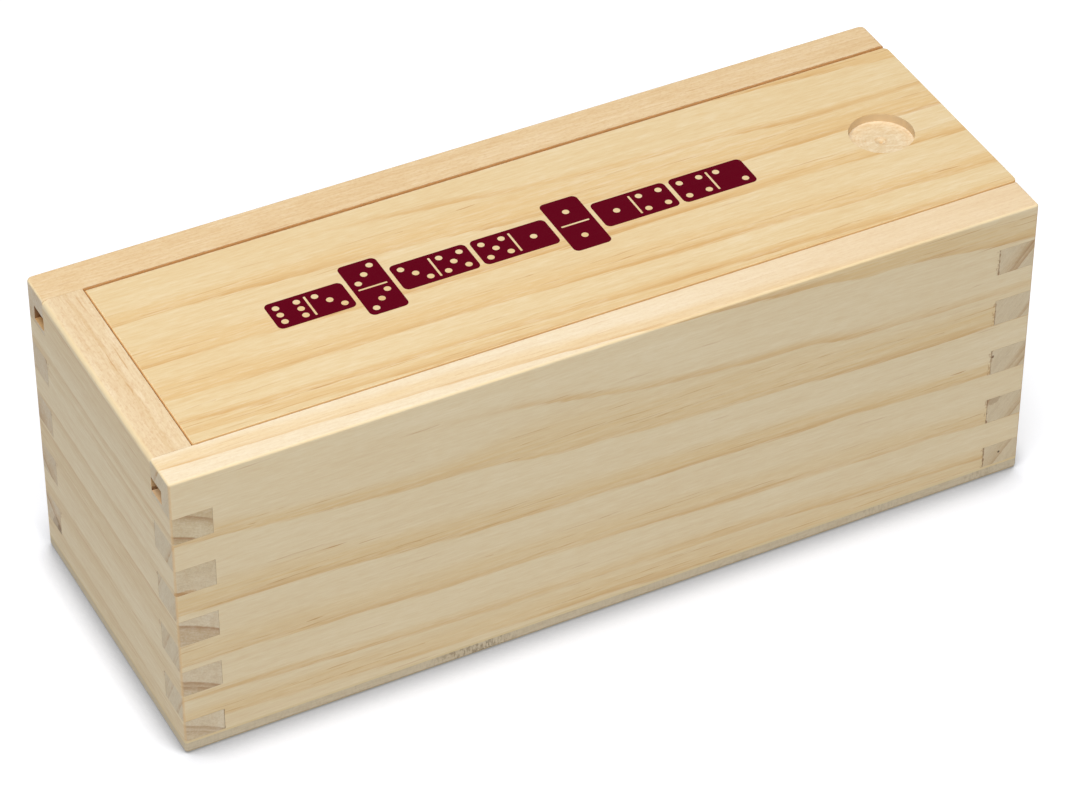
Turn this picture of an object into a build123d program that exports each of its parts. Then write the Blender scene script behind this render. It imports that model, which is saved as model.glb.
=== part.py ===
"""Slide-lid box for a set of dominoes: four finger-jointed pine walls glued on a three-ply base,
and a pine lid whose tongues run in grooves along the two long walls.

Millimetres. X runs along the box, towards the end where the lid comes out. Y runs from the front
wall to the back wall, Z up. The origin is the centre of the underside.
"""

import os

from build123d import *

# Outside of the box
box_length = 200.0
box_width = 74.0
box_height = 73.0

# Boards and plies
side_thickness = 9.0        # front and back walls
end_thickness = 9.0         # left and right walls
face_ply = 0.6              # top and bottom veneers of the base
core_ply = 2.3              # cross-grain ply between them

# Finger joints, counted downwards from the top of the walls
top_finger = 9.2            # uppermost finger of a long wall, which also carries the lid groove
end_finger = 6.6            # fingers of the short walls
side_finger = 7.1           # the other fingers of the long walls
least_finger = 2.0          # a thinner remnant at the base joins the finger above it
glue_line = 0.04            # between faces that are glued together

# Lid groove, cut from end to end of both long walls
groove_roof = 4.6           # wood left above the groove
groove_height = 3.5
groove_depth = 5.0

# Sliding lid
lid_edge_gap = 0.45         # mean gap between the lid's top and each long wall
lid_front_shift = 0.15      # the lid lies this much nearer to the front wall
lid_end_gap = 0.3           # between the lid and the left wall
lid_proud = 0.4             # the lid stands out past the right wall
tongue_side_play = 0.4      # between a tongue's edge and the bottom of its groove
tongue_roof_play = 0.12     # above a tongue
tongue_floor_play = 0.08    # below a tongue, and between the lid and the right wall
lid_corner_radius = 1.4     # plan view, at the lid's right end
lid_edge_radius = 0.4       # along the top of the lid

# Thumb recess, drilled with a flat bit that leaves a centre mark
recess_radius = 7.2
recess_depth = 2.1
recess_from_end = 17.3      # from the lid's right end to the centre of the recess
centre_mark_radius = 1.3
centre_mark_depth = 0.7

# Edges sanded after the walls and base were glued up
front_corner_radius = 0.7   # upright corners at the front wall, kept crisp
back_corner_radius = 1.4    # upright corners at the back wall
top_edge_radius = 0.6
left_end_top_radius = 1.4    # outer top edge of the left wall, between the long walls
bottom_edge_radius = 1.0

base_top = 2 * face_ply + core_ply
groove_floor = box_height - groove_roof - groove_height
inner_width = box_width - 2 * side_thickness
lid_underside = groove_floor + tongue_floor_play


def block(x_range, y_range, z_range):
    """Square-edged block between two values along each axis."""
    spans = (x_range, y_range, z_range)
    sizes = [high - low for low, high in spans]
    middles = [(low + high) / 2 for low, high in spans]
    return Pos(*middles) * Box(*sizes)


def upright_edges(solid):
    """Upright edges of a solid in groups from front to back."""
    return solid.edges().filter_by(Axis.Z).group_by(Axis.Y)


def sanded_outline():
    """Outside of the glued-up box, with every outer edge rounded as by sanding."""
    outline = block(
        (-box_length / 2, box_length / 2), (-box_width / 2, box_width / 2), (0, box_height)
    )
    outline = fillet(upright_edges(outline)[0], front_corner_radius)
    outline = fillet(upright_edges(outline)[-1], back_corner_radius)
    top = outline.faces().sort_by(Axis.Z)[-1]
    outline = fillet(top.edges(), top_edge_radius)
    bottom = outline.faces().sort_by(Axis.Z)[0]
    return fillet(bottom.edges(), bottom_edge_radius)


def finger_rows():
    """Heights (low, high) of the short walls' fingers, from the top row down to the base."""
    rows = []
    high = box_height - top_finger
    while high - base_top >= least_finger:
        low = high - end_finger
        if low - base_top < least_finger:
            low = base_top
        rows.append((low, high))
        high = low - side_finger
    return rows


def front_side_board():
    """Long wall: a socket for each finger of the short walls, and the lid groove inside."""
    outer = -box_width / 2
    inner = outer + side_thickness
    half = box_length / 2
    board = block((-half, half), (outer, inner), (base_top, box_height))
    for low, high in finger_rows():
        socket_low = low if low == base_top else low - glue_line
        heights = (socket_low, high + glue_line)
        for end in (-1, 1):
            reach = sorted((end * half, end * (half - end_thickness - glue_line)))
            board -= block(reach, (outer, inner), heights)
    groove_top = groove_floor + groove_height
    board -= block((-half, half), (inner - groove_depth, inner), (groove_floor, groove_top))
    return board


def end_board(end, top):
    """Short wall at X end -1 or 1, up to the given height, with its fingers to both sides."""
    half = box_length / 2
    reach = sorted((end * half, end * (half - end_thickness)))
    body_half = inner_width / 2 - glue_line
    board = block(reach, (-body_half, body_half), (base_top, top))
    for low, high in finger_rows():
        board += block(reach, (-box_width / 2, box_width / 2), (low, high))
    return board


def left_end_board():
    """Left wall, as high as the box, with its outer top edge well rounded."""
    board = end_board(-1, box_height)
    top = board.faces().sort_by(Axis.Z)[-1]
    return fillet(top.edges().sort_by(Axis.X)[0], left_end_top_radius)


def base_ply(low, high):
    """One sheet of the base, as large as the box."""
    return block(
        (-box_length / 2, box_length / 2), (-box_width / 2, box_width / 2), (low, high)
    )


def lid_board():
    """Lid with its top flush with the walls, a tongue along each long edge and a thumb recess."""
    left = -box_length / 2 + end_thickness + lid_end_gap
    right = box_length / 2 + lid_proud
    tongue_half = inner_width / 2 + groove_depth - tongue_side_play
    tongue_top = groove_floor + groove_height - tongue_roof_play
    top_half = inner_width / 2 - lid_edge_gap
    tongues = block((left, right), (-tongue_half, tongue_half), (lid_underside, tongue_top))
    panel = block(
        (left, right),
        (-top_half - lid_front_shift, top_half - lid_front_shift),
        (lid_underside, box_height),
    )
    lid = tongues + panel
    upright = lid.edges().filter_by(Axis.Z).group_by(Axis.X)[-1]
    lid = fillet(upright, lid_corner_radius)
    top = lid.faces().sort_by(Axis.Z)[-1]
    lid = fillet(top.edges(), lid_edge_radius)
    return lid - thumb_recess(right - recess_from_end)


def thumb_recess(x):
    """Flat-bottomed round hole with the drill's centre mark in its floor."""
    floor = box_height - recess_depth
    bore = Pos(x, 0, floor + recess_depth / 2) * Cylinder(recess_radius, recess_depth)
    mark = Cone(0, centre_mark_radius, centre_mark_depth)
    return bore + Pos(x, 0, floor - centre_mark_depth / 2) * mark


def pieces():
    """Every separate piece of wood, by name."""
    outline = sanded_outline()
    front = front_side_board()
    return {
        "front_side": front & outline,
        "back_side": mirror(front, about=Plane.XZ) & outline,
        "left_end": left_end_board() & outline,
        "right_end": end_board(1, groove_floor) & outline,
        "base_top_veneer": base_ply(face_ply + core_ply, base_top) & outline,
        "base_core": base_ply(face_ply, face_ply + core_ply) & outline,
        "base_bottom_veneer": base_ply(0, face_ply) & outline,
        "sliding_lid": lid_board(),
    }


os.makedirs("parts", exist_ok=True)
for name, piece in pieces().items():
    print(name, round(piece.volume), "mm3")
    export_step(piece, f"parts/{name}.step")
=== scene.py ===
import math

import bpy
from mathutils import Matrix, Vector


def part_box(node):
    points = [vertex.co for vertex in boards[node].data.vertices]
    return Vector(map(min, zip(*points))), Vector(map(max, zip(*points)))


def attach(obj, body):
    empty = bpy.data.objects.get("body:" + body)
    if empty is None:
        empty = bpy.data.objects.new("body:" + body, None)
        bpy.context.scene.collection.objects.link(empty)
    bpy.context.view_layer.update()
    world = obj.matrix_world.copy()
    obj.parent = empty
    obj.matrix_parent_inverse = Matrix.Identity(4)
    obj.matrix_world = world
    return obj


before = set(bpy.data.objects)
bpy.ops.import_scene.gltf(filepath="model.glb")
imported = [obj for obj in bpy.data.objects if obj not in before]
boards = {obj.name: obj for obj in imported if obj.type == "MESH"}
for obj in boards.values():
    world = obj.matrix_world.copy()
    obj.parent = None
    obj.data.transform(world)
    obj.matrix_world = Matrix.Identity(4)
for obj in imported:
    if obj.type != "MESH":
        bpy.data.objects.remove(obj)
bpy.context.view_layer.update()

mm = 0.001
bpy.ops.object.select_all(action="DESELECT")
print("frame loaded:", ", ".join(sorted(boards)))


# Small helpers for node trees. A value may be a number, a colour or the socket that it comes from.

def card(r, g, b):  # a colour as read off a colour card, 0 to 255
    return tuple(((c / 255 + 0.055) / 1.055) ** 2.4 if c > 10 else c / 3294.6 for c in (r, g, b)) + (1.0,)


def put(tree, kind, **settings):
    made = tree.nodes.new("ShaderNode" + kind)
    for name, value in settings.items():
        setattr(made, name, value)
    return made


def feed(tree, socket, value):
    if isinstance(value, bpy.types.NodeSocket):
        tree.links.new(value, socket)
    elif value is not None:
        socket.default_value = value


def calc(tree, operation, *values, clamp=False):
    made = put(tree, "Math", operation=operation, use_clamp=clamp)
    for socket, value in zip(made.inputs, values):
        feed(tree, socket, value)
    return made.outputs["Value"]


def vectorCalc(tree, operation, *values):
    made = put(tree, "VectorMath", operation=operation)
    for socket, value in zip(made.inputs, values):
        feed(tree, socket, value)
    return made.outputs["Value" if operation in ("LENGTH", "DISTANCE", "DOT_PRODUCT") else "Vector"]


def remap(tree, value, low, high, toLow=0.0, toHigh=1.0, soft=True):
    made = put(tree, "MapRange", interpolation_type="SMOOTHSTEP" if soft else "LINEAR", clamp=True)
    for name, given in (("Value", value), ("From Min", low), ("From Max", high), ("To Min", toLow), ("To Max", toHigh)):
        feed(tree, made.inputs[name], given)
    return made.outputs["Result"]


def mixColour(tree, share, first, second, kind="MIX"):
    made = put(tree, "Mix", data_type="RGBA", blend_type=kind, clamp_factor=True)
    for index, given in ((0, share), (6, first), (7, second)):
        feed(tree, made.inputs[index], given)
    return made.outputs[2]


def noise(tree, vector, stretch, detail=2.0, rough=0.5, distortion=0.0):  # stretch is cycles per millimetre on each axis
    made = put(tree, "TexNoise")
    feed(tree, made.inputs["Vector"], vectorCalc(tree, "MULTIPLY", vector, stretch))
    for name, given in (("Scale", 1.0), ("Detail", detail), ("Roughness", rough), ("Distortion", distortion)):
        made.inputs[name].default_value = given
    return made.outputs["Fac"]


def split(tree, vector):
    made = put(tree, "SeparateXYZ")
    feed(tree, made.inputs[0], vector)
    return made.outputs["X"], made.outputs["Y"], made.outputs["Z"]


def newGroup(name, inputs, outputs):
    group = bpy.data.node_groups.new(name, "ShaderNodeTree")
    for label, kind, value in inputs:
        socket = group.interface.new_socket(label, in_out="INPUT", socket_type="NodeSocket" + kind)
        if value is not None:
            socket.default_value = value
    for label, kind in outputs:
        group.interface.new_socket(label, in_out="OUTPUT", socket_type="NodeSocket" + kind)
    start, end = group.nodes.new("NodeGroupInput"), group.nodes.new("NodeGroupOutput")
    return group, start.outputs, end.inputs


def place(tree, group, **values):
    made = put(tree, "Group", node_tree=group)
    for label, value in values.items():
        feed(tree, made.inputs[label[0].upper() + label[1:]], value)
    return made.outputs


# Shared effects. Grain is in millimetres: X along the grain, Y through the board from its show face, Z across it.

def makeGrowthRing():  # one year's late wood: it deepens softly towards its outer edge and stops there
    group, given, out = newGroup("growth ring", [
        ("Across", "Float", 0.0), ("Edge", "Float", 10.0), ("Fade", "Float", 7.0), ("Strength", "Float", 1.0)],
        [("Late", "Float"), ("Line", "Float")])
    inside = calc(group, "SUBTRACT", given["Edge"], given["Across"])
    lip = remap(group, inside, -0.3, 0.25)
    body = calc(group, "SUBTRACT", 1.0, calc(group, "DIVIDE", inside, given["Fade"]), clamp=True)
    body = calc(group, "MULTIPLY_ADD", remap(group, body, 0.0, 0.6), 0.7, calc(group, "MULTIPLY", body, 0.3))
    feed(group, out["Late"], calc(group, "MULTIPLY", calc(group, "MULTIPLY", body, lip), given["Strength"]))
    line = calc(group, "SUBTRACT", 1.0, calc(group, "DIVIDE", inside, 2.4), clamp=True)
    line = calc(group, "MULTIPLY", calc(group, "POWER", line, 1.6), lip)
    feed(group, out["Line"], calc(group, "MULTIPLY", line, given["Strength"]))
    return group


def makePineFibre():  # fine fibres, slow streaks and a faint cloudiness, with scattered orange flecks
    group, given, out = newGroup("pine fibre", [("Grain", "Vector", None)], [("Tone", "Float"), ("Fleck", "Float"), ("Height", "Float")])
    fine = noise(group, given["Grain"], (0.2, 2.0, 2.0), 4.0, 0.65)
    streak = noise(group, given["Grain"], (0.012, 0.55, 0.55), 4.0, 0.6, 0.3)
    cloud = noise(group, given["Grain"], (0.03, 0.1, 0.1), 3.0, 0.5)
    tone = calc(group, "MULTIPLY", calc(group, "SUBTRACT", fine, 0.5), 1.6)
    tone = calc(group, "ADD", tone, calc(group, "MULTIPLY", calc(group, "SUBTRACT", streak, 0.5), 1.0))
    tone = calc(group, "ADD", tone, calc(group, "MULTIPLY", calc(group, "SUBTRACT", cloud, 0.5), 0.6))
    feed(group, out["Tone"], tone)
    feed(group, out["Fleck"], remap(group, noise(group, given["Grain"], (0.28, 1.7, 1.7), 3.0, 0.6), 0.52, 0.66))
    feed(group, out["Height"], calc(group, "ADD", calc(group, "MULTIPLY", fine, 0.7), calc(group, "MULTIPLY", streak, 0.3)))
    return group


def makeResinStreaks():  # short brown dashes where a resin canal comes to the surface
    group, given, out = newGroup("resin streaks", [
        ("Grain", "Vector", None), ("Spacing", "Vector", (30.0, 1.0, 6.0)), ("Share", "Float", 0.3), ("Length", "Float", 7.0),
        ("Thickness", "Float", 0.16)], [("Mask", "Float")])
    along, through, across = split(group, given["Grain"])
    wander = noise(group, given["Grain"], (0.07, 0.0, 0.05), 2.0)
    across = calc(group, "ADD", across, calc(group, "MULTIPLY", wander, 1.1))
    flat = put(group, "CombineXYZ")
    feed(group, flat.inputs["X"], along)
    feed(group, flat.inputs["Z"], across)
    scaled = vectorCalc(group, "DIVIDE", flat.outputs[0], given["Spacing"])
    cells = put(group, "TexVoronoi", voronoi_dimensions="3D", feature="F1")
    feed(group, cells.inputs["Vector"], scaled)
    cells.inputs["Scale"].default_value = 1.0
    cells.inputs["Randomness"].default_value = 1.0
    off = vectorCalc(group, "MULTIPLY", vectorCalc(group, "SUBTRACT", scaled, cells.outputs["Position"]), given["Spacing"])
    offAlong, offThrough, offAcross = split(group, vectorCalc(group, "ABSOLUTE", off))
    pick = put(group, "SeparateColor")
    feed(group, pick.inputs[0], cells.outputs["Color"])
    reach = calc(group, "MULTIPLY", calc(group, "MULTIPLY_ADD", pick.outputs["Red"], 0.75, 0.3), given["Length"])
    taper = calc(group, "SUBTRACT", 1.0, calc(group, "DIVIDE", offAlong, reach), clamp=True)
    thick = calc(group, "MULTIPLY", calc(group, "POWER", taper, 0.5), given["Thickness"])
    body = remap(group, calc(group, "SUBTRACT", thick, offAcross), -0.07, 0.07)
    chosen = calc(group, "LESS_THAN", pick.outputs["Green"], given["Share"])
    patchy = remap(group, noise(group, given["Grain"], (0.16, 0.0, 2.4), 2.0), 0.34, 0.6)
    feed(group, out["Mask"], calc(group, "MULTIPLY", calc(group, "MULTIPLY", body, chosen), patchy))
    return group


def makeCutEnd():  # fibres seen end on: tiny pores and fine strokes that follow the rings
    group, given, out = newGroup("cut end", [("Grain", "Vector", None)], [("Pores", "Float"), ("Tone", "Float")])
    pores = noise(group, given["Grain"], (0.8, 4.5, 4.5), 2.0, 0.6)
    feed(group, out["Pores"], remap(group, pores, 0.54, 0.7))
    strokes = noise(group, given["Grain"], (0.1, 0.5, 2.6), 3.0, 0.65, 0.5)
    cloud = noise(group, given["Grain"], (0.05, 0.22, 0.22), 3.0)
    feed(group, out["Tone"], calc(group, "MULTIPLY_ADD", calc(group, "SUBTRACT", strokes, 0.5), 1.5, calc(group, "SUBTRACT", cloud, 0.5)))
    return group


def makeEasedEdge():  # the sanded arrises, found by their slanting normals
    group, given, out = newGroup("eased edge", [("Normal", "Vector", None), ("Grain", "Vector", None)], [("Mask", "Float")])
    x, y, z = split(group, vectorCalc(group, "ABSOLUTE", given["Normal"]))
    flatness = calc(group, "MAXIMUM", calc(group, "MAXIMUM", x, y), z)
    rubbed = noise(group, given["Grain"], (0.12, 0.5, 0.5), 3.0, 0.6)
    mask = calc(group, "MULTIPLY", remap(group, flatness, 0.995, 0.86), remap(group, rubbed, 0.25, 0.7, 0.45, 1.0))
    feed(group, out["Mask"], mask)
    return group


def makeFingerSeams():  # joints round the fingers: glued tight at the left, open and torn brown in places at the right
    group, given, out = newGroup("finger seams", [("Position", "Vector", None), ("Normal", "Vector", None), ("Opening", "Float", 0.12)], [
        ("Crack", "Float"), ("Stain", "Float"), ("Torn", "Float")])
    x, y, z = split(group, given["Position"])
    nx, ny, nz = split(group, vectorCalc(group, "ABSOLUTE", given["Normal"]))
    pitch = calc(group, "DIVIDE", calc(group, "SUBTRACT", 60.5, z), 13.7)
    below = calc(group, "MULTIPLY", calc(group, "SUBTRACT", pitch, calc(group, "ROUND", pitch)), 13.7)  # from the row's middle downwards
    toRow = calc(group, "ABSOLUTE", below)
    inRow = remap(group, toRow, 3.45, 3.2)  # 1 where an end board's finger shows on the long sides
    ragged = noise(group, given["Position"], (0.5, 0.5, 0.5), 4.0, 0.75)
    width = calc(group, "MULTIPLY", remap(group, ragged, 0.42, 0.7, 0.05, 2.2), given["Opening"])
    loose = calc(group, "MAXIMUM", remap(group, x, -20.0, 20.0), calc(group, "MULTIPLY", calc(group, "LESS_THAN", z, 10.0), 0.8))
    width = calc(group, "MULTIPLY", width, calc(group, "MULTIPLY_ADD", loose, 0.9, 0.1))
    ends = calc(group, "SUBTRACT", calc(group, "ABSOLUTE", x), 91.0)
    sides = calc(group, "SUBTRACT", calc(group, "ABSOLUTE", y), 28.0)
    edgeOfRow = calc(group, "ABSOLUTE", calc(group, "SUBTRACT", toRow, 3.3))

    def hairline(distance, room):  # dark inside room, soft over the next tenth
        return remap(group, calc(group, "SUBTRACT", calc(group, "ABSOLUTE", distance), room), 0.1, -0.05)

    def onSide(axis):
        return calc(group, "MULTIPLY", calc(group, "GREATER_THAN", axis, 0.6), calc(group, "LESS_THAN", z, 64.5))

    longSide, shortSide = onSide(ny), onSide(nx)
    onLong = calc(group, "MULTIPLY", calc(group, "MULTIPLY", hairline(ends, width), inRow), longSide)
    offRow = calc(group, "SUBTRACT", 1.0, inRow)
    onShort = calc(group, "MULTIPLY", calc(group, "MULTIPLY", hairline(sides, calc(group, "MULTIPLY", width, 1.4)), offRow), shortSide)
    onLong = calc(group, "MULTIPLY", onLong, calc(group, "MULTIPLY_ADD", loose, 0.8, 0.2))
    feed(group, out["Crack"], calc(group, "MAXIMUM", onLong, onShort))
    near = calc(group, "MULTIPLY", calc(group, "GREATER_THAN", ends, -0.1), longSide)
    near = calc(group, "MAXIMUM", near, calc(group, "MULTIPLY", calc(group, "GREATER_THAN", sides, -0.1), shortSide))
    feed(group, out["Stain"], calc(group, "MULTIPLY", hairline(edgeOfRow, 0.0), near))
    bits = remap(group, noise(group, given["Position"], (1.5, 1.5, 1.1), 3.0, 0.6), 0.5, 0.62)
    corner = calc(group, "MULTIPLY", remap(group, below, 3.2, 3.5), remap(group, below, 5.6, 4.2))
    split_ = calc(group, "MULTIPLY", remap(group, calc(group, "ABSOLUTE", calc(group, "ADD", sides, 0.3)), 0.9, 0.4), corner)
    splitLong = calc(group, "MULTIPLY", remap(group, calc(group, "ABSOLUTE", calc(group, "ADD", ends, 0.25)), 0.7, 0.3), inRow)
    splitLong = calc(group, "MULTIPLY", calc(group, "MULTIPLY", splitLong, longSide), remap(group, x, -20.0, 20.0, 0.0, 0.7))
    split_ = calc(group, "MAXIMUM", calc(group, "MULTIPLY", split_, shortSide), splitLong)
    feed(group, out["Torn"], calc(group, "MULTIPLY", split_, bits))
    return group


growthRing = makeGrowthRing()
pineFibre = makePineFibre()
resinStreaks = makeResinStreaks()
cutEnd = makeCutEnd()
easedEdge = makeEasedEdge()
fingerSeams = makeFingerSeams()
print("shared wood groups built")


# Solid pine. Each ring edge is drawn as points of millimetres along the board and across it, with its fade and strength.

def ringEdge(tree, along, points):
    if len(points) == 2:
        (x0, y0), (x1, y1) = points
        slope = (y1 - y0) / (x1 - x0)
        return calc(tree, "MULTIPLY_ADD", along, slope, y0 - slope * x0)
    span, low, reach = 210.0, -40.0, 150.0
    curve = put(tree, "FloatCurve")
    line = curve.mapping.curves[0]
    while len(line.points) < len(points):
        line.points.new(0.5, 0.5)
    for dot, (x, y) in zip(line.points, points):
        dot.location = ((x + 5) / span, (y - low) / reach)
    for dot in line.points:
        dot.handle_type = "AUTO_CLAMPED"
    curve.mapping.update()
    feed(tree, curve.inputs["Value"], calc(tree, "MULTIPLY_ADD", along, 1 / span, 5 / span))
    return calc(tree, "MULTIPLY_ADD", curve.outputs["Value"], reach, low)


def makePine(name, look, seams=True):
    material = bpy.data.materials.new(name)
    material.use_nodes = True
    tree = material.node_tree
    tree.nodes.clear()
    spot = put(tree, "TexCoord")
    turned = put(tree, "Mapping", vector_type="POINT")
    feed(tree, turned.inputs["Vector"], spot.outputs["Object"])
    turned.inputs["Scale"].default_value = look["scale"]
    turned.inputs["Rotation"].default_value = [math.radians(a) for a in look["turn"]]
    turned.inputs["Location"].default_value = look["shift"]
    grain = turned.outputs["Vector"]
    along, through, across = split(tree, grain)
    dipped = calc(tree, "MULTIPLY", through, calc(tree, "MULTIPLY_ADD", through, look["dip"][1], look["dip"][0]))
    wave = calc(tree, "MULTIPLY", calc(tree, "SUBTRACT", noise(tree, grain, (0.03, 0.05, 0.07), 3.0, 0.5), 0.5), look["wave"])
    fray = calc(tree, "MULTIPLY", calc(tree, "SUBTRACT", noise(tree, grain, (0.05, 1.0, 1.9), 3.0, 0.65), 0.5), look.get("fray", 2.6))
    smooth = calc(tree, "ADD", calc(tree, "SUBTRACT", across, dipped), wave)
    nx, ny, nz = split(tree, vectorCalc(tree, "ABSOLUTE", spot.outputs["Normal"]))
    facing = remap(tree, {"x": nx, "y": ny}[look["grainAxis"]], 0.55, 0.9)
    level = calc(tree, "ADD", smooth, calc(tree, "MULTIPLY", fray, calc(tree, "MULTIPLY_ADD", facing, -0.8, 1.0)))
    late, line = None, None

    def drift(value):  # one value, a pair for the board's left and right ends, or points along it
        if isinstance(value, list):
            return ringEdge(tree, along, value)
        return calc(tree, "MULTIPLY_ADD", along, (value[1] - value[0]) / 200, value[0]) if isinstance(value, tuple) else value

    for points, fade, strength in look["rings"]:
        fade, strength = drift(fade), drift(strength)
        ring = place(tree, growthRing, across=level, edge=ringEdge(tree, along, points), fade=fade, strength=strength)
        late = ring["Late"] if late is None else calc(tree, "MAXIMUM", late, ring["Late"])
        line = ring["Line"] if line is None else calc(tree, "MAXIMUM", line, ring["Line"])

    fibre = place(tree, pineFibre, grain=grain)
    banded = put(tree, "CombineXYZ")
    feed(tree, banded.inputs["X"], along)
    feed(tree, banded.inputs["Y"], through)
    feed(tree, banded.inputs["Z"], calc(tree, "ADD", smooth, look["seed"]))
    resin = place(tree, resinStreaks, grain=banded.outputs[0], share=look["resin"])["Mask"]
    hairs = place(tree, resinStreaks, grain=banded.outputs[0], spacing=(19.0, 1.0, 1.7), share=0.4, length=11.0, thickness=0.08)["Mask"]
    resin = calc(tree, "MULTIPLY", resin, remap(tree, late, 0.0, 0.25, 0.45, 1.0))
    hairs = calc(tree, "MULTIPLY", hairs, remap(tree, late, 0.05, 0.4))
    end = place(tree, cutEnd, grain=banded.outputs[0])
    edge = place(tree, easedEdge, normal=spot.outputs["Normal"], grain=grain)["Mask"]

    breakUp = remap(tree, noise(tree, grain, (0.018, 0.4, 1.1), 4.0, 0.68), 0.38, 0.64, 0.62, 1.1)
    banding = calc(tree, "MULTIPLY", calc(tree, "MULTIPLY", late, breakUp), calc(tree, "MULTIPLY_ADD", facing, -look.get("endFade", 0.0), 1.0))
    colour = mixColour(tree, banding, look["early"], look["late"])
    waxing = remap(tree, noise(tree, grain, (0.016, 0.15, 0.35), 3.0, 0.6), 0.4, 0.62, 0.15, 1.0)
    colour = mixColour(tree, calc(tree, "MULTIPLY", calc(tree, "MULTIPLY", line, waxing), look["lineShare"]), colour, look["line"])
    lively = look.get("lively", 1.0)
    darker = calc(tree, "MULTIPLY", fibre["Tone"], -1.0)
    colour = mixColour(tree, calc(tree, "MULTIPLY", fibre["Tone"], 0.32 * lively, clamp=True), colour, card(255, 246, 226))
    colour = mixColour(tree, calc(tree, "MULTIPLY", darker, 0.3 * lively, clamp=True), colour, look["line"])
    colour = mixColour(tree, calc(tree, "MULTIPLY", fibre["Fleck"], 0.1 * lively), colour, look["late"])
    colour = mixColour(tree, calc(tree, "MULTIPLY", resin, 0.72), colour, card(192, 140, 82))
    colour = mixColour(tree, calc(tree, "MULTIPLY", hairs, 0.7), colour, card(194, 144, 86))
    if "topPaintedLight" in look:  # painted light on the top faces, set per board, fading towards the right end on the front board; the pits are specks in the wood
        onTop = remap(tree, nz, 0.6, 0.95)
        shadingTint = look["topPaintedLight"] if "farPaintedLight" not in look else mixColour(tree, remap(tree, along, 60.0, 190.0), look["topPaintedLight"], look["farPaintedLight"])
        colour = mixColour(tree, onTop, colour, mixColour(tree, 1.0, colour, shadingTint, "MULTIPLY"))
        pits = remap(tree, noise(tree, grain, (1.0, 1.9, 1.9), 4.0, 0.72), 0.44, 0.68, 0.0, look.get("speckle", 0.12))
        colour = mixColour(tree, calc(tree, "MULTIPLY", pits, onTop), colour, card(202, 150, 98))

    endTint = look["endTint"]
    if "highTint" in look:
        endTint = mixColour(tree, remap(tree, calc(tree, "MULTIPLY", split(tree, spot.outputs["Object"])[2], 1000.0), 36.0, 58.0), endTint, look["highTint"])
    sawn = mixColour(tree, 1.0, colour, endTint, "MULTIPLY")  # the same wood, end on
    arcs = calc(tree, "MAXIMUM", line, calc(tree, "MULTIPLY", calc(tree, "POWER", late, 3.0), 0.35))
    sawn = mixColour(tree, calc(tree, "MULTIPLY", arcs, look["endArcs"]), sawn, look.get("arcs", card(164, 124, 96)))
    sawn = mixColour(tree, calc(tree, "MULTIPLY", end["Pores"], 0.16), sawn, card(138, 112, 86))
    sawn = mixColour(tree, calc(tree, "MULTIPLY", end["Tone"], 0.55, clamp=True), sawn, card(240, 228, 206))
    sawn = mixColour(tree, calc(tree, "MULTIPLY", end["Tone"], -0.5, clamp=True), sawn, card(168, 138, 106))
    colour = mixColour(tree, facing, colour, sawn)
    # sanded arrises take their own tone, with a painted highlight in pale cream where they turn upwards
    arris = mixColour(tree, remap(tree, nz, 0.2, 0.5), look["edge"], card(250, 226, 178))
    colour = mixColour(tree, calc(tree, "MULTIPLY", edge, 0.7), colour, arris)

    height = calc(tree, "MULTIPLY", fibre["Height"], 0.03)
    height = calc(tree, "SUBTRACT", height, calc(tree, "MULTIPLY", calc(tree, "MULTIPLY", end["Pores"], facing), 0.03))
    rough = calc(tree, "MULTIPLY_ADD", fibre["Tone"], 0.12, 0.58)
    rough = calc(tree, "MULTIPLY_ADD", facing, 0.16, rough)
    rough = calc(tree, "MULTIPLY_ADD", edge, -0.06, rough)
    scaled = vectorCalc(tree, "MULTIPLY", spot.outputs["Object"], (1000.0, 1000.0, 1000.0))
    if seams:
        joint = place(tree, fingerSeams, position=scaled, normal=spot.outputs["Normal"], opening=look.get("opening", 0.1))
        colour = mixColour(tree, calc(tree, "MULTIPLY", joint["Stain"], 0.2), colour, card(160, 126, 90))
        colour = mixColour(tree, calc(tree, "MULTIPLY", joint["Torn"], 0.7), colour, card(172, 126, 84))
        colour = mixColour(tree, calc(tree, "MULTIPLY", joint["Crack"], 0.8), colour, card(140, 98, 64))
        height = calc(tree, "SUBTRACT", height, calc(tree, "MULTIPLY", joint["Crack"], 0.2))
    lean = None
    if "mouth" in look:
        colour, lean = lidSlot(tree, scaled, spot.outputs["Normal"], colour, look["mouth"])
    if "drilled" in look:
        colour, height, rough = drilledFloor(tree, spot, colour, height, rough, look["drilled"])
    for mark in look.get("marks", []):
        colour = spotMark(tree, scaled, colour, mark)
    bump = put(tree, "Bump")
    bump.inputs["Strength"].default_value = 0.5
    bump.inputs["Distance"].default_value = 1.0 * mm
    feed(tree, bump.inputs["Height"], height)
    feed(tree, bump.inputs["Normal"], lean)
    wood = put(tree, "BsdfPrincipled")
    feed(tree, wood.inputs["Base Color"], colour)
    feed(tree, wood.inputs["Roughness"], rough)
    feed(tree, wood.inputs["Normal"], bump.outputs["Normal"])
    wood.inputs["Specular IOR Level"].default_value = 0.28
    feed(tree, put(tree, "OutputMaterial").inputs["Surface"], wood.outputs["BSDF"])
    return material


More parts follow.
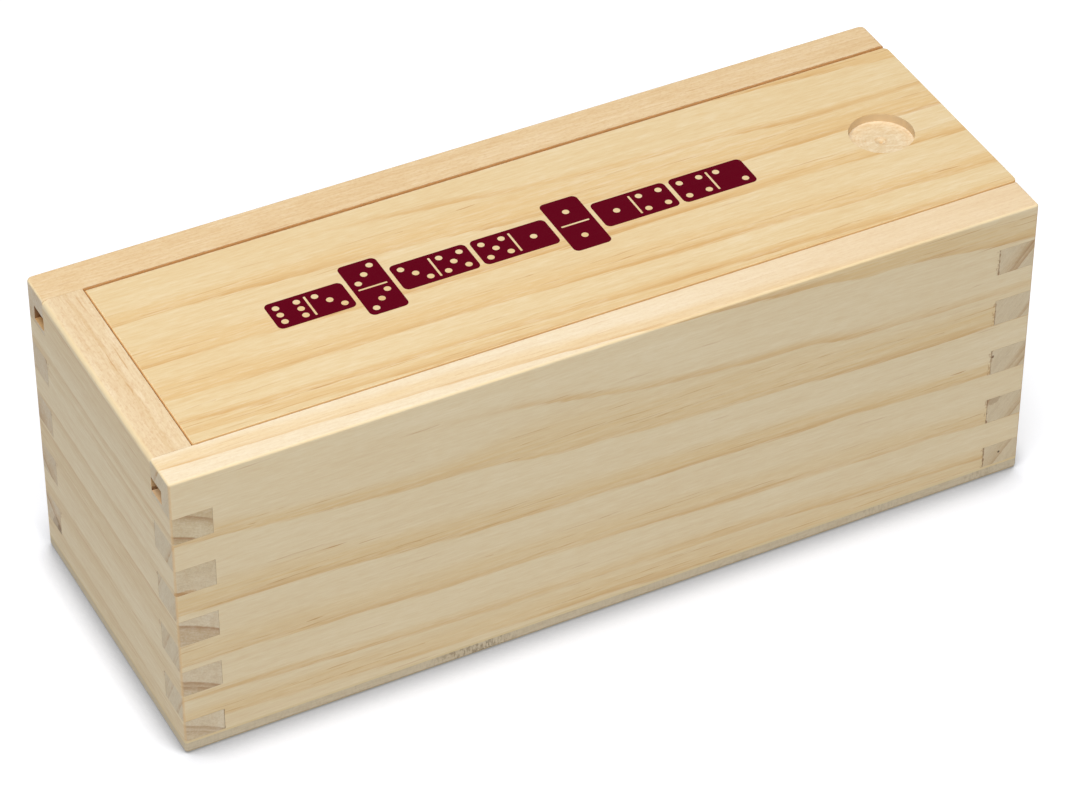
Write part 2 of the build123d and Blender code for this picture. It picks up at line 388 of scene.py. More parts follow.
def lidSlot(tree, scaled, normal, colour, mouth):  # where lid and walls face each other: painted shade on the faces in the slit, orange-brown and darkest deep in the groove, with fibres torn along a wall's top edge
    x, y, z = split(tree, scaled)
    y = calc(tree, "ABSOLUTE", y)
    nx, ny, nz = split(tree, vectorCalc(tree, "ABSOLUTE", normal))
    near, far = mouth["span"]
    long = calc(tree, "MULTIPLY", remap(tree, y, near - 0.1, near), remap(tree, y, far + 0.1, far))
    long = calc(tree, "MULTIPLY", long, calc(tree, "LESS_THAN", nx, 0.6))
    short = calc(tree, "LESS_THAN", calc(tree, "ABSOLUTE", calc(tree, "ADD", x, 90.8)), 0.35)
    short = calc(tree, "MULTIPLY", short, calc(tree, "MULTIPLY", calc(tree, "GREATER_THAN", nx, 0.6), calc(tree, "LESS_THAN", y, 28.1)))
    inner = calc(tree, "MULTIPLY", calc(tree, "MAXIMUM", long, short), remap(tree, z, mouth["bottom"] - 0.1, mouth["bottom"]))
    inner = calc(tree, "MULTIPLY", inner, remap(tree, z, 73.0, 72.9))
    # painted shade on the faces in the slit, strongest near the top where the slit shows
    slitShade = calc(tree, "MULTIPLY", calc(tree, "MULTIPLY", inner, remap(tree, z, 71.4, 72.2, 0.2, 1.0)), remap(tree, x, -99.4, -98.6))
    shadingTint = mixColour(tree, short, mouth["shadingTint"], (0.92, 0.66, 0.42, 1))
    colour = mixColour(tree, slitShade, colour, mixColour(tree, 1.0, colour, shadingTint, "MULTIPLY"))
    # painted shade deep in the groove near the left end: dark brown on its walls and tan on its floor
    deep = calc(tree, "MULTIPLY", calc(tree, "MULTIPLY", inner, remap(tree, z, 68.6, 68.4)), remap(tree, x, -84.0, -97.0))
    flat = remap(tree, nz, 0.4, 0.6)
    deep = calc(tree, "MULTIPLY", deep, calc(tree, "MULTIPLY_ADD", flat, -0.2, 0.8))
    colour = mixColour(tree, deep, colour, mixColour(tree, flat, card(128, 78, 36), card(206, 158, 96)))
    eased = calc(tree, "MULTIPLY", calc(tree, "MULTIPLY", inner, calc(tree, "LESS_THAN", nz, 0.5)), remap(tree, z, mouth["eased"], 72.9))
    upwards = put(tree, "CombineXYZ")  # the arris is rubbed round here, so it catches light from above
    feed(tree, upwards.inputs["Z"], calc(tree, "MULTIPLY", eased, calc(tree, "MULTIPLY_ADD", short, 0.5, 0.5)))
    lean = vectorCalc(tree, "NORMALIZE", vectorCalc(tree, "ADD", normal, upwards.outputs[0]))
    if mouth["torn"] == 0:
        return colour, lean
    torn = remap(tree, noise(tree, scaled, (0.5, 0.5, 0.5), 4.0, 0.75), 0.46, 0.66, 0.0, mouth["torn"])
    lip = remap(tree, calc(tree, "SUBTRACT", calc(tree, "SUBTRACT", y, near + 0.1), torn), 0.05, -0.05)
    lip = calc(tree, "MULTIPLY", calc(tree, "MULTIPLY", lip, remap(tree, nz, 0.5, 0.7)), calc(tree, "GREATER_THAN", z, 72.0))
    lip = calc(tree, "MULTIPLY", lip, remap(tree, x, -91.0, -90.0))
    return mixColour(tree, calc(tree, "MULTIPLY", lip, 0.75), colour, card(170, 108, 58)), lean


def spotMark(tree, scaled, colour, mark):  # one small knot, hole or torn bit, at a place in millimetres
    off = vectorCalc(tree, "DIVIDE", vectorCalc(tree, "SUBTRACT", scaled, mark["at"]), mark["reach"])
    rough = calc(tree, "MULTIPLY", calc(tree, "SUBTRACT", noise(tree, scaled, (1.4, 1.4, 1.4), 2.0), 0.5), mark["ragged"])
    share = remap(tree, calc(tree, "ADD", vectorCalc(tree, "LENGTH", off), rough), 1.1, 0.75, 0.0, mark["share"])
    return mixColour(tree, share, colour, mark["colour"])


def drilledFloor(tree, spot, colour, height, rough, drill):  # the thumb recess: fibres cut short by the bit, so paler and rougher
    x, y, z = split(tree, vectorCalc(tree, "MULTIPLY", spot.outputs["Object"], (1000.0, 1000.0, 1000.0)))
    nz = calc(tree, "ABSOLUTE", split(tree, spot.outputs["Normal"])[2])
    fromAxis = put(tree, "CombineXYZ")
    feed(tree, fromAxis.inputs["X"], calc(tree, "SUBTRACT", x, drill["centre"][0]))
    feed(tree, fromAxis.inputs["Y"], calc(tree, "SUBTRACT", y, drill["centre"][1]))
    radius = vectorCalc(tree, "LENGTH", fromAxis.outputs[0])
    inside = calc(tree, "MULTIPLY", calc(tree, "LESS_THAN", radius, drill["radius"] + 0.1), remap(tree, z, drill["top"] - 0.15, drill["top"] - 0.35))
    torn = noise(tree, fromAxis.outputs[0], (0.35, 0.9, 1.0), 4.0, 0.62)
    rings = calc(tree, "SINE", calc(tree, "MULTIPLY", radius, 8.0))
    rings = calc(tree, "MULTIPLY", rings, remap(tree, noise(tree, fromAxis.outputs[0], (0.25, 0.25, 0.3), 2.0), 0.45, 0.65))
    floor = mixColour(tree, remap(tree, torn, 0.36, 0.66), drill["deep"], drill["pale"])
    floor = mixColour(tree, calc(tree, "MULTIPLY", rings, 0.2, clamp=True), floor, drill["scorch"])
    dimple = remap(tree, calc(tree, "ABSOLUTE", calc(tree, "SUBTRACT", radius, 1.2)), 0.4, 0.1)
    dimple = calc(tree, "MAXIMUM", calc(tree, "MULTIPLY", dimple, 0.3), remap(tree, radius, 0.8, 0.2, 0.0, 0.6))
    chips = remap(tree, noise(tree, fromAxis.outputs[0], (1.3, 2.6, 1.0), 3.0, 0.7), 0.5, 0.66, 0.0, 0.4)
    floor = mixColour(tree, chips, floor, drill["scorch"])
    floor = mixColour(tree, remap(tree, radius, 6.2, 7.1, 0.0, 0.3), floor, card(250, 240, 220))
    floor = mixColour(tree, dimple, floor, drill["scorch"])
    side = mixColour(tree, remap(tree, torn, 0.4, 0.6, 0.0, 0.35), drill["wall"], drill["deep"])
    cut = mixColour(tree, remap(tree, nz, 0.3, 0.6), side, floor)
    colour = mixColour(tree, calc(tree, "MULTIPLY", inside, 0.9), colour, cut)
    scratches = calc(tree, "ADD", calc(tree, "MULTIPLY", torn, 0.06), calc(tree, "MULTIPLY", rings, 0.008))
    height = calc(tree, "MULTIPLY_ADD", scratches, inside, height)
    return colour, height, calc(tree, "MULTIPLY_ADD", inside, 0.15, rough)


# The front wall is flat sawn from wide-ringed pine, and its rings climb out over the top edge.
# each mouth's tint is painted shade on the wood facing into the slit
wallMouth = {"span": (27.95, 33.05), "bottom": 64.85, "shadingTint": (0.88, 0.58, 0.33, 1), "eased": 72.2, "torn": 0.12}
tightMouth = {"span": (27.95, 33.05), "bottom": 64.85, "shadingTint": (0.85, 0.68, 0.5, 1), "eased": 72.2, "torn": 0.06}
frontLook = {
    "scale": (1000, 1000, -1000), "turn": (0, 0, 0), "shift": (100, 37, 73), "grainAxis": "x", "mouth": tightMouth,
    "dip": (1.88, 0.0), "wave": 0.8, "fray": 1.9, "seed": 3.0, "resin": 0.34, "opening": 0.09,
    # the top face gets painted light: paler and cooler at the left end, warmer towards the right end
    "early": card(232, 213, 177), "late": card(227, 199, 150), "line": card(206, 160, 102), "lineShare": 0.75, "topPaintedLight": (1.12, 1.14, 1.22, 1), "farPaintedLight": (1.05, 0.98, 0.94, 1), "lively": 1.5,
    "endTint": (0.9, 0.93, 1.03, 1), "endArcs": 0.2, "endFade": 0.7, "edge": card(222, 184, 136),
    "marks": [
        {"at": (-100.0, -27.3, 41.0), "reach": (1.0, 0.35, 0.9), "ragged": 1.6, "share": 0.8, "colour": card(140, 100, 66)},
        {"at": (-100.0, -27.6, 26.6), "reach": (1.0, 0.3, 1.3), "ragged": 1.6, "share": 0.8, "colour": card(150, 104, 66)},
        {"at": (-100.0, -27.2, 13.4), "reach": (1.0, 0.4, 1.1), "ragged": 1.6, "share": 0.85, "colour": card(132, 94, 62)}],
    "rings": [
        ([(-5, -9.3), (50, -6.4), (75, -4.5), (100, -1.4), (112, 0.3), (125, 1.2), (137, 2.2), (150, 3.2), (158, 4.4), (170, 5.0), (180, 6.2), (190, 7.6), (205, 8.6)], (9.0, 8.0), 1.1),
        ([(-5, 3), (70, 8.9), (82, 10.4), (93, 12.7), (101, 14.4), (110, 15.6), (120, 16.7), (132, 17.6), (145, 18.3), (157, 20.2), (170, 20.5), (191, 21.4), (205, 21.8)], (1.2, 3.0), [(-5, 0.0), (60, 0.1), (80, 0.5), (100, 0.85), (150, 0.85), (166, 0.55), (205, 0.45)]),
        ([(-5, 16.2), (10, 17.2), (26, 19.0), (39, 20.1), (51, 21.2), (73, 22.5), (80, 23.9), (88, 25.1), (98, 25.6), (110, 26.8), (140, 28), (160, 29.2), (205, 29.6)], [(-5, 4.8), (40, 4.8), (62, 5.6), (72, 8.5), (84, 12.5), (110, 13.0), (150, 11.6), (170, 9.2), (205, 8.6)], 0.95),
        ([(-5, 34.8), (20, 35.6), (33, 36.1), (40, 36.7), (52, 37.8), (65, 38.7), (78, 39.3), (102, 39.9), (135, 40.9), (154, 41.3), (172, 42.3), (205, 43.2)], (8.8, 4.4), 1.0),
        ([(-5, 49.0), (20, 49.4), (34, 50.0), (46, 50.5), (54, 51.1), (78, 51.8), (102, 52.6), (122, 53.8), (147, 55.0), (172, 55.9), (205, 57.4)], (8.4, 6.0), 0.75),
        ([(-5, 58.0), (10, 59.0), (21, 59.4), (36, 60.4), (45, 60.9), (62, 61.7), (80, 62.3), (102, 62.9), (135, 63.8), (144, 64.3), (154, 65.2), (166, 65.9), (190, 67.0), (205, 67.6)], (2.4, 4.4), 0.8),
        ([(-5, 65.4), (9, 65.6), (21, 66.1), (34, 66.6), (42, 67.2), (54, 67.8), (78, 68.3), (102, 68.8), (116, 69.6), (205, 73)], [(-5, 5.2), (40, 6.2), (80, 7.4), (205, 7.6)], 0.8),
    ],
}
lidLook = {
    "scale": (1000, -1000, 1000), "turn": (90, 0, 0), "shift": (100, 73, 37), "grainAxis": "x",
    "mouth": {"span": (27.2, 33.2), "bottom": 65.2, "shadingTint": (0.74, 0.56, 0.38, 1), "eased": 72.3, "torn": 0},
    "dip": (1.5, 0.0), "wave": 0.8, "seed": 41.0, "resin": 0.4, "lively": 1.8,
    "early": card(231, 205, 158), "late": card(227, 192, 136), "line": card(206, 156, 90), "lineShare": 0.8,
    "endTint": (0.9, 0.92, 1.0, 1), "endArcs": 0.5, "edge": card(240, 218, 176),
    "rings": [
        ([(-5, 1), (100, 6), (162, 10.4), (180, 11.8), (205, 14.6)], 8.0, 1.1),
        ([(-5, 12), (65, 14.9), (72, 15.6), (81, 16.5), (91, 17.7), (98, 19.0), (105, 20.1), (113, 20.9), (122, 21.8), (142, 22.8), (154, 23.3), (161, 24.1), (169, 25.0), (192, 25.4), (205, 25.6)], (1.2, 3.2), [(-5, 0.0), (60, 0.2), (80, 0.6), (100, 0.9), (170, 0.85), (205, 0.6)]),
        ([(-5, 22.9), (10, 23.4), (26, 23.8), (37, 24.4), (60, 25.6), (80, 27), (99, 29.5), (110, 30.2), (130, 31.2), (150, 32.1), (172, 32.5), (205, 33.6)], [(-5, 5.4), (30, 5.4), (60, 7.0), (85, 10.0), (100, 14.0), (130, 13.0), (160, 10.0), (205, 8.8)], 0.95),
        ([(-5, 38.3), (30, 39.4), (50, 40.4), (70, 41.2), (100, 41.9), (120, 42.3), (150, 42.5), (170, 43.0), (205, 44.4)], (9.0, 4.4), 1.0),
        ([(-5, 49.9), (20, 50.4), (40, 51.2), (90, 52.4), (120, 53.8), (150, 54.9), (170, 55.8), (205, 57.1)], (8.5, 6.0), 0.9),
        ([(-5, 57.8), (10, 58.2), (29, 59.5), (41, 60.0), (63, 60.5), (85, 61.0), (104, 61.7), (124, 62.3), (147, 63.1), (171, 64.2), (205, 65.6)], (2.4, 3.6), 0.9),
        ([(-5, 61.2), (30, 62.4), (50, 63.6), (100, 64.8), (205, 67.0)], 4.0, 0.8),
    ],
    "drilled": {"centre": (83.1, 0.0), "radius": 7.2, "top": 73.0, "pale": card(242, 224, 192), "deep": card(228, 203, 162), "scorch": card(214, 168, 112), "wall": card(220, 194, 155)},
}
backLook = {
    "scale": (1000, -1000, -1000), "turn": (0, 0, 0), "shift": (100, 37, 73), "grainAxis": "x", "mouth": wallMouth,
    "dip": (0.6, 0.0), "wave": 1.6, "seed": 77.0, "resin": 0.45, "opening": 0.09, "lively": 2.7, "speckle": 0.25,
    "marks": [
        {"at": (-100.0, 30.2, 9.6), "reach": (1.0, 2.6, 2.8), "ragged": 0.9, "share": 0.4, "colour": card(140, 112, 86)},
        {"at": (-100.0, 29.2, 9.2), "reach": (1.0, 1.0, 1.9), "ragged": 1.2, "share": 0.6, "colour": card(120, 92, 66)}],
    # the top face gets painted shading, a little darker and warmer
    "early": card(231, 208, 168), "late": card(226, 195, 146), "line": card(204, 162, 108), "lineShare": 0.55, "topPaintedLight": (1.0, 0.93, 0.85, 1),
    "endTint": (0.9, 0.95, 1.12, 1), "endArcs": 0.55, "edge": card(232, 198, 146),
    "rings": [
        ([(-5, 11), (60, 13), (130, 12), (205, 15)], (8.0, 6.0), 0.9),
        ([(-5, 24), (60, 25.5), (130, 25), (205, 28)], (6.0, 8.0), 0.8), ([(-5, 35), (90, 38), (205, 38.5)], (8.0, 5.0), 1.0),
        ([(-5, 47), (90, 48.5), (205, 51)], 6.0, 0.8), ([(-5, 57.5), (205, 60)], (4.0, 7.0), 0.9), ([(-5, 67), (205, 70)], 5.0, 0.9)],
}
leftLook = {  # heights are measured upwards on this board, so its bands fade downwards
    "scale": (-1000, 1000, 1000), "turn": (0, 0, -90), "shift": (37, 100, 0), "grainAxis": "y",
    "dip": (-0.36, -0.014), "wave": 0.5, "seed": 9.0, "resin": 0.06, "opening": 0.09, "fray": 1.6, "lively": 2.4, "speckle": 0.3,
    "mouth": {"span": (27.9, 33.05), "bottom": 64.85, "shadingTint": (0.92, 0.64, 0.36, 1), "eased": 72.0, "torn": 0},
    # the top face gets painted light, a little warmer
    "early": card(231, 213, 179), "late": card(221, 198, 158), "line": card(206, 168, 120), "lineShare": 0.45, "topPaintedLight": (1.045, 0.985, 0.925, 1),
    "endTint": (0.9, 0.9, 0.94, 1), "highTint": (0.85, 0.83, 0.8, 1), "endArcs": 0.75, "arcs": card(160, 118, 84), "edge": card(220, 184, 138),
    "marks": [{"at": (-99.0, -37.0, 43.7), "reach": (3.6, 1.0, 0.8), "ragged": 0.6, "share": 0.5, "colour": card(194, 142, 80)},
        {"at": (-98.6, -28.0, 66.8), "reach": (2.2, 0.4, 1.7), "ragged": 1.5, "share": 0.85, "colour": card(228, 192, 142)},
        {"at": (-98.6, 28.0, 66.8), "reach": (2.2, 0.4, 1.7), "ragged": 1.5, "share": 0.85, "colour": card(220, 178, 124)}],
    "rings": [
        ([(-5, 80.0), (80, 80.0)], 5.6, 0.6), ([(-5, 75.6), (80, 75.4)], 1.1, 0.8), ([(-5, 71.6), (80, 71.2)], 9.5, 0.75), ([(-5, 65.2), (80, 66.6)], 1.4, 0.8), ([(-5, 59.6), (80, 58.8)], 3.4, 0.9), ([(-5, 55.8), (80, 55.6)], 3.2, 0.8),
        ([(-5, 44.7), (80, 44.2)], 4.0, 0.8), ([(-5, 35.8), (80, 35.6)], 12.0, 1.0), ([(-5, 20.3), (80, 19.3)], 1.3, 0.9), ([(-5, 19.1), (80, 18.1)], 5.5, 0.9),
        ([(-5, 7.9), (80, 9.6)], 1.3, 0.7), ([(-5, 6.6), (80, 8.2)], 6.0, 0.6)],
}
rightLook = {
    "scale": (1000, 1000, -1000), "turn": (0, 0, -90), "shift": (37, 100, 73), "grainAxis": "y",
    "dip": (1.16, 0.0), "wave": 0.9, "seed": 15.0, "resin": 0.14, "opening": 0.13,
    "early": card(230, 212, 178), "late": card(224, 200, 158), "line": card(204, 164, 116), "lineShare": 0.45,
    "endTint": (0.89, 0.885, 0.9, 1), "endArcs": 0.6, "arcs": card(164, 116, 78), "edge": card(230, 194, 146),
    "marks": [
        {"at": (92.2, -37.0, 22.4), "reach": (2.0, 1.0, 1.5), "ragged": 1.3, "share": 0.5, "colour": card(166, 136, 104)},
        {"at": (95.0, -37.0, 6.5), "reach": (0.3, 1.0, 0.3), "ragged": 0.0, "share": 0.9, "colour": card(70, 46, 34)},
        {"at": (91.4, -37.0, 34.7), "reach": (0.3, 1.0, 0.4), "ragged": 0.5, "share": 0.8, "colour": card(104, 66, 40)}],
    "rings": [
        ([(-5, -3), (80, -4)], 6.0, 0.8), ([(-5, 9.0), (80, 10.4)], 2.0, 1.0), ([(-5, 10.6), (80, 12)], 7.0, 1.0), ([(-5, 26.6), (80, 26)], 2.0, 0.6), ([(-5, 38.2), (80, 39.5)], 3.0, 0.6),
        ([(-5, 40.6), (80, 45)], 6.0, 0.7), ([(-5, 53.4), (80, 54.6)], 4.0, 0.5), ([(-5, 62), (80, 62.5)], 6.0, 0.6), ([(-5, 72), (80, 74)], 6.0, 0.9)],
}
walls = {"front_side": frontLook, "back_side": backLook, "left_end": leftLook, "right_end": rightLook, "sliding_lid": lidLook}


def dress(name, material):
    board = boards[name]
    board.data.materials.clear()
    board.data.materials.append(material)


for boardName, look in walls.items():
    dress(boardName, makePine("pine_" + boardName, look, seams=boardName != "sliding_lid"))
print("pine on", len(walls), "boards")


# Plywood: two thin faces of peeled veneer with a thicker core laid crosswise, whose pores show on the long edges.
plies = {
    "base_top_veneer": {"grainAxis": "x", "early": card(228, 210, 172), "late": card(220, 196, 150), "open": 0.05, "edgeTintAndLight": (0.98, 0.96, 0.92, 1)},
    "base_core": {"grainAxis": "y", "early": card(214, 199, 172), "late": card(202, 182, 150), "open": 0.66, "edgeTintAndLight": (0.96, 0.96, 0.97, 1)},
    # the bottom veneer's edge is painted light, lifting its down-facing rounded edge out of its shade
    "base_bottom_veneer": {"grainAxis": "x", "early": card(224, 206, 164), "late": card(214, 190, 142), "open": 0.05, "edgeTintAndLight": (1.3, 1.33, 1.4, 1)},
}


def makePly(name, look):
    material = bpy.data.materials.new(name)
    material.use_nodes = True
    tree = material.node_tree
    tree.nodes.clear()
    spot = put(tree, "TexCoord")
    turned = put(tree, "Mapping", vector_type="POINT")
    feed(tree, turned.inputs["Vector"], spot.outputs["Object"])
    turned.inputs["Scale"].default_value = (1000, 1000, 1000)
    turned.inputs["Rotation"].default_value = (0, 0, 0 if look["grainAxis"] == "x" else math.radians(-90))
    turned.inputs["Location"].default_value = (11.0, 5.0, 2.0)
    grain = turned.outputs["Vector"]
    fibre = place(tree, pineFibre, grain=grain)
    swirl = noise(tree, grain, (0.014, 0.05, 0.6), 3.0, 0.5, 1.4)  # the long loops of a peeled log
    loops = calc(tree, "PINGPONG", calc(tree, "MULTIPLY", swirl, 9.0), 1.0)
    colour = mixColour(tree, calc(tree, "MULTIPLY", calc(tree, "POWER", loops, 2.2), 0.6), look["early"], look["late"])
    colour = mixColour(tree, calc(tree, "MULTIPLY", fibre["Tone"], 0.3, clamp=True), colour, card(246, 232, 202))
    nx, ny, nz = split(tree, vectorCalc(tree, "ABSOLUTE", spot.outputs["Normal"]))
    onEdge = remap(tree, nz, 0.97, 0.7)
    facing = remap(tree, nx if look["grainAxis"] == "x" else ny, 0.5, 0.85)
    # each ply's own edge tone; on the bottom veneer it is painted light
    colour = mixColour(tree, onEdge, colour, mixColour(tree, 1.0, colour, look["edgeTintAndLight"], "MULTIPLY"))
    clusters = remap(tree, noise(tree, spot.outputs["Object"], (42.0, 42.0, 4.0), 2.0, 0.5), 0.5, 0.64, 0.12, 0.34)
    pore = noise(tree, spot.outputs["Object"], (1700.0, 1700.0, 560.0), 3.0, 0.65)
    x, y, z = split(tree, vectorCalc(tree, "MULTIPLY", spot.outputs["Object"], (1000.0, 1000.0, 1000.0)))
    middle = calc(tree, "ABSOLUTE", calc(tree, "ADD", x, 34.0))
    clusters = calc(tree, "MAXIMUM", clusters, remap(tree, middle, 14.0, 2.0, 0.0, 0.85))
    glue = calc(tree, "MULTIPLY", remap(tree, calc(tree, "ABSOLUTE", calc(tree, "SUBTRACT", z, 0.64)), 0.2, 0.07), onEdge)
    colour = mixColour(tree, calc(tree, "MULTIPLY", glue, 0.7), colour, card(170, 140, 90))
    open_ = calc(tree, "MULTIPLY", calc(tree, "MULTIPLY", remap(tree, pore, 0.46, 0.62), clusters), facing)
    colour = mixColour(tree, calc(tree, "MULTIPLY", open_, look["open"]), colour, card(120, 98, 72))
    edge = place(tree, easedEdge, normal=spot.outputs["Normal"], grain=grain)["Mask"]
    colour = mixColour(tree, calc(tree, "MULTIPLY", edge, 0.2), colour, card(206, 186, 148))
    height = calc(tree, "SUBTRACT", calc(tree, "MULTIPLY", fibre["Height"], 0.06), calc(tree, "MULTIPLY", open_, 0.12))
    bump = put(tree, "Bump")
    bump.inputs["Strength"].default_value = 0.6
    bump.inputs["Distance"].default_value = 1.0 * mm
    feed(tree, bump.inputs["Height"], height)
    wood = put(tree, "BsdfPrincipled")
    feed(tree, wood.inputs["Base Color"], colour)
    feed(tree, wood.inputs["Roughness"], calc(tree, "MULTIPLY_ADD", fibre["Tone"], 0.12, 0.66))
    feed(tree, wood.inputs["Normal"], bump.outputs["Normal"])
    wood.inputs["Specular IOR Level"].default_value = 0.25
    feed(tree, put(tree, "OutputMaterial").inputs["Surface"], wood.outputs["BSDF"])
    return material


for plyName, look in plies.items():
    dress(plyName, makePly("ply_" + plyName, look))
print("plywood on", len(plies), "plies")


# The print on the lid: a chain of dominoes laid end to end, doubles crosswise, in flat wine-red ink. Sizes in millimetres.
chain = {
    "half": 8.8, "gap": 1.0, "corner": 1.25, "pip": 0.78, "pipStep": 2.35, "slot": (0.5, 6.6), "stock": 1.0,
    "centre": (-4.5, 1.6), "film": 0.03,
    "tiles": [("flat", 6, 3), ("across", 3, 3), ("flat", 3, 5), ("flat", 5, 1), ("across", 1, 1), ("flat", 1, 4), ("flat", 4, 2)],
}
pipPlaces = {
    0: [], 1: [(0, 0)], 2: [(-1, 1), (1, -1)], 3: [(-1, 1), (0, 0), (1, -1)], 4: [(-1, 1), (1, 1), (-1, -1), (1, -1)],
    5: [(-1, 1), (1, 1), (0, 0), (-1, -1), (1, -1)], 6: [(-1, 1), (-1, 0), (-1, -1), (1, 1), (1, 0), (1, -1)],
}


def blankTile(name, width, depth, corner, height):
    bpy.ops.mesh.primitive_cube_add(size=1.0)
    tile = bpy.context.object
    tile.name = name
    bpy.ops.object.mode_set(mode="EDIT")
    bpy.ops.transform.resize(value=(width * mm, depth * mm, height * mm))
    bpy.ops.mesh.select_mode(type="EDGE")
    bpy.ops.mesh.select_all(action="DESELECT")
    bpy.ops.object.mode_set(mode="OBJECT")
    for e in tile.data.edges:  # the four upright corners
        a, b = (tile.data.vertices[v].co for v in e.vertices)
        e.select = abs(a.z - b.z) > 0.5 * height * mm
    bpy.ops.object.mode_set(mode="EDIT")
    bpy.ops.mesh.bevel(offset=corner * mm, segments=6, affect="EDGES")
    bpy.ops.object.mode_set(mode="OBJECT")
    return tile


def copyOf(piece, name, spot, turn=0.0):
    made = piece.copy()
    made.data = piece.data.copy()
    made.name = name
    bpy.context.scene.collection.objects.link(made)
    made.data.transform(Matrix.Translation(Vector(spot) * mm) @ Matrix.Rotation(math.radians(turn), 4, "Z"))
    return made


def joined(pieces, name):
    bpy.ops.object.select_all(action="DESELECT")
    for piece in pieces:
        piece.select_set(True)
    bpy.context.view_layer.objects.active = pieces[0]
    bpy.ops.object.join()
    made = bpy.context.object
    made.name = name
    return made


def printChain(look, lidTop):
    half, gap = look["half"], look["gap"]
    tile = blankTile("blank_tile", 2 * half, half, look["corner"], look["stock"])
    bpy.ops.mesh.primitive_cylinder_add(vertices=28, radius=look["pip"] * mm, depth=3 * look["stock"] * mm)
    pip = bpy.context.object
    slot = blankTile("blank_slot", look["slot"][0], look["slot"][1], look["slot"][0] * 0.4, 3 * look["stock"])
    length = sum(2 * half if way == "flat" else half for way, _, _ in look["tiles"]) + gap * (len(look["tiles"]) - 1)
    x, y = look["centre"][0] - length / 2, look["centre"][1]
    tiles, cutters = [], []
    for count, (way, first, second) in enumerate(look["tiles"]):
        wide = 2 * half if way == "flat" else half
        middle, turn = (x + wide / 2, y, 0), (0 if way == "flat" else 90)
        tiles.append(copyOf(tile, f"tile_{count}", middle, turn))
        cutters.append(copyOf(slot, f"slot_{count}", middle, turn))
        for side, value in ((-1, first), (1, second)):
            for px, py in pipPlaces[value]:
                px, py = px * look["pipStep"] + side * half / 2, py * look["pipStep"]
                offset = (px, py) if way == "flat" else (-py, px)
                cutters.append(copyOf(pip, "pip", (middle[0] + offset[0], middle[1] + offset[1], 0)))
        x += wide + gap
    film = joined(tiles, "lid_print")
    cutter = joined(cutters, "pip_cutter")
    bpy.ops.object.select_all(action="DESELECT")
    film.select_set(True)
    bpy.context.view_layer.objects.active = film
    cut = film.modifiers.new("pips", "BOOLEAN")
    cut.object, cut.operation, cut.solver = cutter, "DIFFERENCE", "EXACT"
    bpy.ops.object.modifier_apply(modifier=cut.name)
    for spare in (tile, pip, slot, cutter):
        bpy.data.objects.remove(spare)
    thin = look["film"] / look["stock"]  # the stock is pressed down to a film of ink
    film.data.transform(Matrix.Translation((0, 0, lidTop + 0.5 * look["film"] * mm)) @ Matrix.Diagonal((1, 1, thin, 1)))
    return film


def makeInk():
    material = bpy.data.materials.new("lid_ink")
    material.use_nodes = True
    tree = material.node_tree
    tree.nodes.clear()
    spot = put(tree, "TexCoord")
    turned = put(tree, "Mapping", vector_type="POINT")
    feed(tree, turned.inputs["Vector"], spot.outputs["Object"])
    turned.inputs["Scale"].default_value = (1000, 1000, 1000)
    fibre = place(tree, pineFibre, grain=turned.outputs["Vector"])
    starved = remap(tree, fibre["Tone"], 0.25, 0.8)  # where the ink sits thin on a fibre
    colour = mixColour(tree, calc(tree, "MULTIPLY", starved, 0.16), card(94, 0, 22), card(124, 24, 42))
    speck = noise(tree, turned.outputs["Vector"], (1.1, 4.2, 4.2), 3.0, 0.7)
    colour = mixColour(tree, calc(tree, "MULTIPLY", remap(tree, speck, 0.74, 0.82), 0.25), colour, card(170, 112, 88))
    bump = put(tree, "Bump")
    bump.inputs["Strength"].default_value = 0.4
    bump.inputs["Distance"].default_value = 1.0 * mm
    feed(tree, bump.inputs["Height"], calc(tree, "MULTIPLY", fibre["Height"], 0.03))
    ink = put(tree, "BsdfPrincipled")
    feed(tree, ink.inputs["Base Color"], colour)
    feed(tree, ink.inputs["Roughness"], calc(tree, "MULTIPLY_ADD", fibre["Tone"], 0.15, 0.6))
    feed(tree, ink.inputs["Normal"], bump.outputs["Normal"])
    ink.inputs["Specular IOR Level"].default_value = 0.03
    feed(tree, put(tree, "OutputMaterial").inputs["Surface"], ink.outputs["BSDF"])
    return material


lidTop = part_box("sliding_lid")[1].z
lidPrint = printChain(chain, lidTop)
lidPrint.data.materials.clear()
lidPrint.data.materials.append(makeInk())
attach(lidPrint, "lid")
print("print on the lid:", len(lidPrint.data.polygons), "faces")


# The studio: a white floor, a broad light overhead and a weak fill.
studio = {
    "floorSize": 6.0, "bounce": (0.6, 0.6, 0.59, 1), "shown": (0.6, 0.606, 0.64, 1), "lift": (0.52, 0.63), "contact": 12.0, "world": 0.3,
    "shadow": [(0, 0.4), (0.032, 0.42), (0.131, 0.49), (0.232, 0.62), (0.326, 0.725), (0.417, 0.78), (0.514, 0.81), (0.6, 0.84), (0.8, 0.92), (1, 1)],
    "key": {"at": (-0.30, -0.34, 1.15), "size": 0.9, "watts": 13.0},
    "fill": {"at": (0.55, -1.3, 0.5), "size": 1.0, "watts": 1.5},
}


def seenDirectly(tree):  # camera, mirror and glass rays, which see the backdrop plain white
    path = put(tree, "LightPath")
    seen = calc(tree, "MAXIMUM", path.outputs["Is Camera Ray"], path.outputs["Is Glossy Ray"])
    return calc(tree, "MAXIMUM", seen, path.outputs["Is Transmission Ray"])


